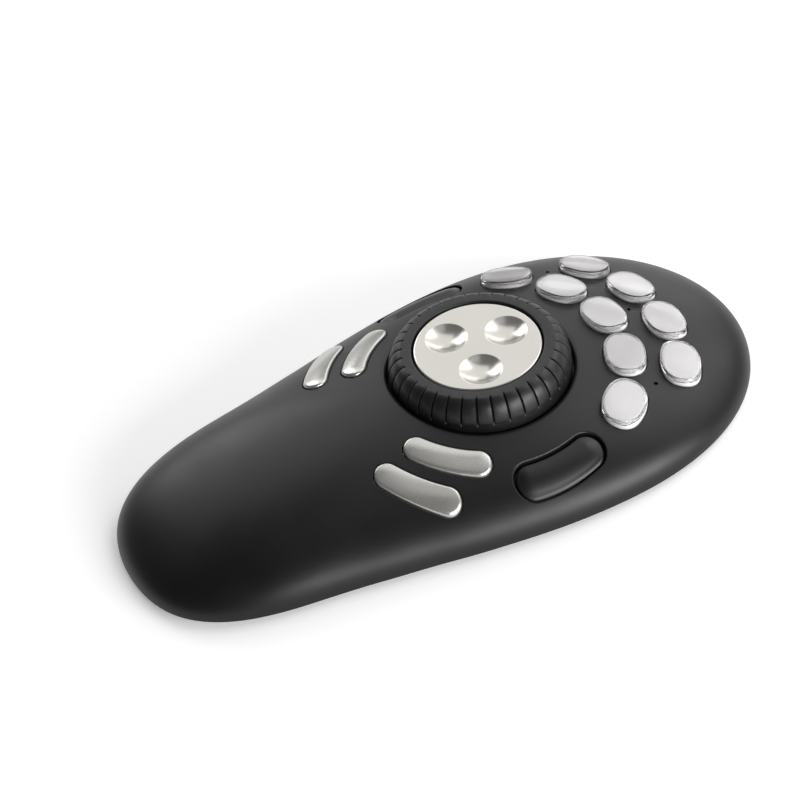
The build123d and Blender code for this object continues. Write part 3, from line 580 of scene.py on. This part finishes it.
def shell_mesh():
    """Outer surface as a constrained triangulation through the rim, the level curves of the crown and loops
    round each opening, lifted on to the crown. Loops near an opening drop by the profile of its rolled
    edge."""
    level = np.linspace(0, 2 * np.pi, shell_columns, endpoint=False)
    grades = np.concatenate([np.linspace(crown_grade, rim_grade, crown_levels),
                             np.linspace(rim_grade, np.pi / 2, rim_levels)[1:-1]])
    reach = np.sin(grades)[:, None]
    gx = (reach * span(level) * np.sin(level)).ravel()
    gy = (reach * span(level) * np.cos(level)).ravel() - crown_shift
    keep = np.ones(len(gx), bool)
    loops, drops, edges_at = [], [], []
    for hole, radius in hole_family():
        wide = hole(radius * collar_share)
        close = np.abs(gx - wide[0].mean()) < np.ptp(wide[0]) / 2 + hole_reach
        close &= np.abs(gy - wide[1].mean()) < np.ptp(wide[1]) / 2 + hole_reach
        which = np.flatnonzero(close & keep)
        keep[which] = near_loop(gx[which], gy[which], *wide) > collar_room
        for s in np.radians(np.linspace(0, 90, roll_steps)):
            loops.append(hole(radius * (1 - math.cos(s))))
            drops.append(np.full(len(loops[-1][0]), radius * (1 - math.sin(s))))
            edges_at.append(s == 0)
        loops.append(wide)
        drops.append(np.zeros(len(wide[0])))
        edges_at.append(False)
    rim = (span(level) * np.sin(level), span(level) * np.cos(level) - crown_shift)
    thin = keep.reshape(len(grades), shell_columns)
    column = np.sin(grades) * mean_span * 2 * np.pi / shell_columns
    step = np.maximum(1, np.round(least_column / (column + column_slack)).astype(int))
    thin &= (np.arange(shell_columns) % step[:, None]) == 0
    keep = thin.ravel()
    x = np.concatenate([gx[keep], rim[0]] + [loop[0] for loop in loops])
    y = np.concatenate([gy[keep], rim[1]] + [loop[1] for loop in loops])
    drop = np.concatenate([np.zeros(keep.sum() + shell_columns)] + drops)
    owners = [np.full(len(loop[0]), n if edge else no_loop)
              for n, (loop, edge) in enumerate(zip(loops, edges_at))]
    owner = np.concatenate([np.full(keep.sum(), no_loop), np.full(shell_columns, rim_loop)] + owners)
    sides, start = [], int(keep.sum())
    for size in [shell_columns] + [len(loop[0]) for loop in loops]:
        ring = np.arange(start, start + size)
        sides.append(np.stack([ring, np.roll(ring, -1)], axis=-1))
        start += size
    flat = np.stack(unrolled(x, y), axis=-1)
    _, _, faces, origin, _, _ = delaunay_2d_cdt(
        flat.tolist(), np.concatenate(sides).tolist(), [], 0, same_spot)
    source = np.array([o[0] if o else -1 for o in origin])
    faces = source[np.array(faces)]
    faces = faces[(faces >= 0).all(axis=1)]
    in_hole = (owner[faces[:, 0]] >= 0) & (owner[faces] == owner[faces[:, :1]]).all(axis=1)
    faces = faces[~in_hole]
    a, b, c = (np.stack([x, y], axis=-1)[faces[:, i]] for i in range(3))
    turned_over = np.cross(b - a, c - a) < 0
    faces[turned_over] = faces[turned_over][:, ::-1]
    return x, y, crown(x, y) - drop, faces, owner, sides, [n for n, edge in enumerate(edges_at) if edge]


def close_shell():
    """The outer surface with an inner copy a wall below it, walls down each opening and a stepped rim. Near
    the rim the inner copy draws in, and at the cable inlet its edge lies level at the pocket's bottom."""
    x, y, z, faces, owner, sides, edge_loops = shell_mesh()
    angle = np.arctan2(x, y + crown_shift)
    reach = np.minimum(np.hypot(x, y + crown_shift) / span(angle), 1)
    inset_share = np.clip((reach - inset_start_share) / (1 - inset_start_share), 0, 1)
    pull = 1 - (wall + inner_inset) / span(angle) * inset_share
    ix, iy = x * pull, (y + crown_shift) * pull - crown_shift
    under = crown(ix, iy, wall)
    iz = np.where(reach > flank_share, np.maximum(under, base_top),
                  np.minimum(under, z - least_wall_share * wall))
    iz = np.where(owner == rim_loop, base_top, iz)
    seat_point, out = inlet_axis()
    pocket = owner == edge_loops[-1]
    depth = (x - seat_point[0]) * out[0] + (y - seat_point[1]) * out[1] + pocket_floor
    ix = np.where(pocket, x - depth * out[0], ix)
    iy = np.where(pocket, y - depth * out[1], iy)
    iz = np.where(pocket, z, iz)
    count, rim = len(x), sides[0]
    shrink = 1 - rim_lip / span(angle[rim[:, 0]])
    lip_x = x[rim[:, 0]] * shrink
    lip_y = (y[rim[:, 0]] + crown_shift) * shrink - crown_shift
    low = np.stack([lip_x, lip_y, 0 * lip_x + rim_height], axis=-1)
    high = np.stack([lip_x, lip_y, 0 * lip_x + base_top], axis=-1)
    points = np.concatenate([np.stack([x, y, z], axis=-1), np.stack([ix, iy, iz], axis=-1), low, high])
    size = len(rim)
    here, there = np.arange(size), (np.arange(size) + 1) % size
    bands = [rim, np.stack([2 * count + here, 2 * count + there], axis=-1),
             np.stack([2 * count + size + here, 2 * count + size + there], axis=-1), rim + count]
    quads = [np.stack([b[:, 0], t[:, 0], t[:, 1], b[:, 1]], axis=-1) for b, t in zip(bands[:-1], bands[1:])]
    for n in edge_loops:
        loop = sides[n + 1]
        quads.append(np.stack([loop[:, 0], loop[:, 1], loop[:, 1] + count, loop[:, 0] + count], axis=-1))
    triangles = np.concatenate([faces, faces[:, ::-1] + count])
    return points * mm, triangles.tolist() + np.concatenate(quads).tolist()


shell_points, shell_faces = close_shell()
shell = bpy.data.meshes.new("top_shell_crown")
shell.from_pydata(shell_points.tolist(), [], shell_faces)
work = bmesh.new()
work.from_mesh(shell)
bmesh.ops.recalc_face_normals(work, faces=work.faces)
work.to_mesh(shell)
work.free()
# Satin moulded ABS: deep black with broad, soft grey highlights along the flanks.
satin_abs = grained("satin_moulded_abs", "#0a0a0b", "#070708", (0.38, 0.44), 0.28, 0.01, IOR=1.42)
finish_piece("top_shell_crown", shell, satin_abs, "case", ("top_shell",), sharp=40)

# Cable gland: a moulded rubber grommet in the wall of the head, held by its flange.
# It is the CAD piece with the matt rubber of the feet.
dress(foot_rubber, "cable_gland")

# Stage: a plain white floor and soft studio light. The camera stands where the photograph was taken from,
# turned by the same roll.
floor_half, floor_rough = 12.0, 0.9
near_glow, far_glow, near_reach, far_reach = 0.25, 1.0, 0.25, 0.8
floor_mesh = bpy.data.meshes.new("floor")
floor_corners = [(-floor_half, -floor_half, 0), (floor_half, -floor_half, 0),
                 (floor_half, floor_half, 0), (-floor_half, floor_half, 0)]
floor_mesh.from_pydata(floor_corners, [], [(0, 1, 2, 3)])
floor = bpy.data.objects.new("floor", floor_mesh)
bpy.context.scene.collection.objects.link(floor)


def seen_directly(tree):
    """One for rays that come from the camera, a mirror or clear plastic, and nought for those that gather
    light: the greatest of three ray kinds."""
    path = node(tree, "ShaderNodeLightPath", {})
    mirrored = node(tree, "ShaderNodeMath", {
        0: path.outputs["Is Camera Ray"], 1: path.outputs["Is Glossy Ray"]}, operation="MAXIMUM")
    return node(tree, "ShaderNodeMath", {
        0: mirrored.outputs[0], 1: path.outputs["Is Transmission Ray"]}, operation="MAXIMUM").outputs[0]


# White floor paint: it keeps the shadow near the object and glows to plain white further out.
floor_paint = bpy.data.materials.new("white_floor")
floor_paint.use_nodes = True
floor_tree = floor_paint.node_tree
floor_shader = floor_tree.nodes["Principled BSDF"]
floor_shader.inputs["Base Color"].default_value = linear("#f4f4f4")
floor_shader.inputs["Roughness"].default_value = floor_rough
floor_shader.inputs["Emission Color"].default_value = linear("#ffffff")
floor_place = node(floor_tree, "ShaderNodeTexCoord", {}).outputs["Object"]
floor_reach = node(floor_tree, "ShaderNodeVectorMath", {0: floor_place}, operation="LENGTH").outputs["Value"]
floor_level = node(floor_tree, "ShaderNodeMapRange", {
    "Value": floor_reach, "From Min": near_reach, "From Max": far_reach, "To Min": near_glow,
    "To Max": far_glow}).outputs["Result"]
floor_lift = node(floor_tree, "ShaderNodeMath", {
    0: seen_directly(floor_tree), 1: floor_level}, operation="MULTIPLY")
floor_tree.links.new(floor_lift.outputs[0], floor_shader.inputs["Emission Strength"])
floor_mesh.materials.append(floor_paint)

sky_strength, lamp_distance = 0.12, 1.2
world = bpy.data.worlds.new("studio")
bpy.context.scene.world = world
world.use_nodes = True
sky = world.node_tree.nodes["Background"]
sky.inputs["Color"].default_value = linear("#ffffff")
sky.inputs["Strength"].default_value = sky_strength


def placing(right, up, back, stand):
    """Matrix of a lamp or camera from its three unit vectors and where it stands."""
    matrix = np.eye(4)
    matrix[:3, :3] = np.stack([right, up, back], axis=1)
    matrix[:3, 3] = stand
    return Matrix(matrix.tolist())


def soft_lamp(name, azimuth, height, width, depth, watts):
    """An oblong area lamp that faces the object from an azimuth, in degrees from +X towards +Y, and a height
    in degrees above the floor."""
    lamp = bpy.data.lights.new(name, "AREA")
    lamp.shape, lamp.size, lamp.size_y, lamp.energy = "RECTANGLE", width, depth, watts
    holder = bpy.data.objects.new(name, lamp)
    turn, tilt = math.radians(azimuth), math.radians(height)
    back = np.array([math.cos(tilt) * math.cos(turn), math.cos(tilt) * math.sin(turn), math.sin(tilt)])
    right = np.cross((0, 0, 1), back)
    right /= np.linalg.norm(right)
    holder.matrix_world = placing(right, np.cross(back, right), back, back * lamp_distance)
    bpy.context.scene.collection.objects.link(holder)


soft_lamp("low_side_softbox", azimuth=18, height=17, width=1.15, depth=0.4, watts=17.5)
soft_lamp("head_softbox", azimuth=130, height=45, width=1.4, depth=1.2, watts=6.4)
soft_lamp("near_head_softbox", azimuth=86, height=42, width=0.95, depth=0.9, watts=4.6)
soft_lamp("far_head_softbox", azimuth=135, height=16, width=0.6, depth=0.4, watts=1.2)
soft_lamp("top_softbox", azimuth=60, height=78, width=0.5, depth=0.5, watts=0.4)
soft_lamp("left_fill", azimuth=185, height=28, width=0.6, depth=0.6, watts=3.8)

camera_lens, sensor, near_clip, far_clip = 87.81, 36.0, 0.01, 20
view_azimuth, view_height, view_roll = np.radians([68.777, 42.904, -9.2])
view_distance, view_right, view_up = 635.5, 25.2, 17.77
back = np.array([np.sin(view_azimuth) * np.cos(view_height), -np.cos(view_azimuth) * np.cos(view_height),
                 np.sin(view_height)])
level_right = np.array([np.cos(view_azimuth), np.sin(view_azimuth), 0.0])
level_up = np.cross(back, level_right)
right = np.cos(view_roll) * level_right + np.sin(view_roll) * level_up
up = np.cos(view_roll) * level_up - np.sin(view_roll) * level_right
stand = np.array([0, wheel_y, disc_top]) + back * view_distance - right * view_right - up * view_up
lens = bpy.data.cameras.new("photo_camera")
lens.lens, lens.sensor_width, lens.sensor_fit = camera_lens, sensor, "HORIZONTAL"
lens.clip_start, lens.clip_end = near_clip, far_clip
camera = bpy.data.objects.new("photo_camera", lens)
camera.matrix_world = placing(right, up, back, stand * mm)
bpy.context.scene.collection.objects.link(camera)
bpy.context.scene.camera = camera
bpy.context.scene.view_settings.view_transform = "Standard"
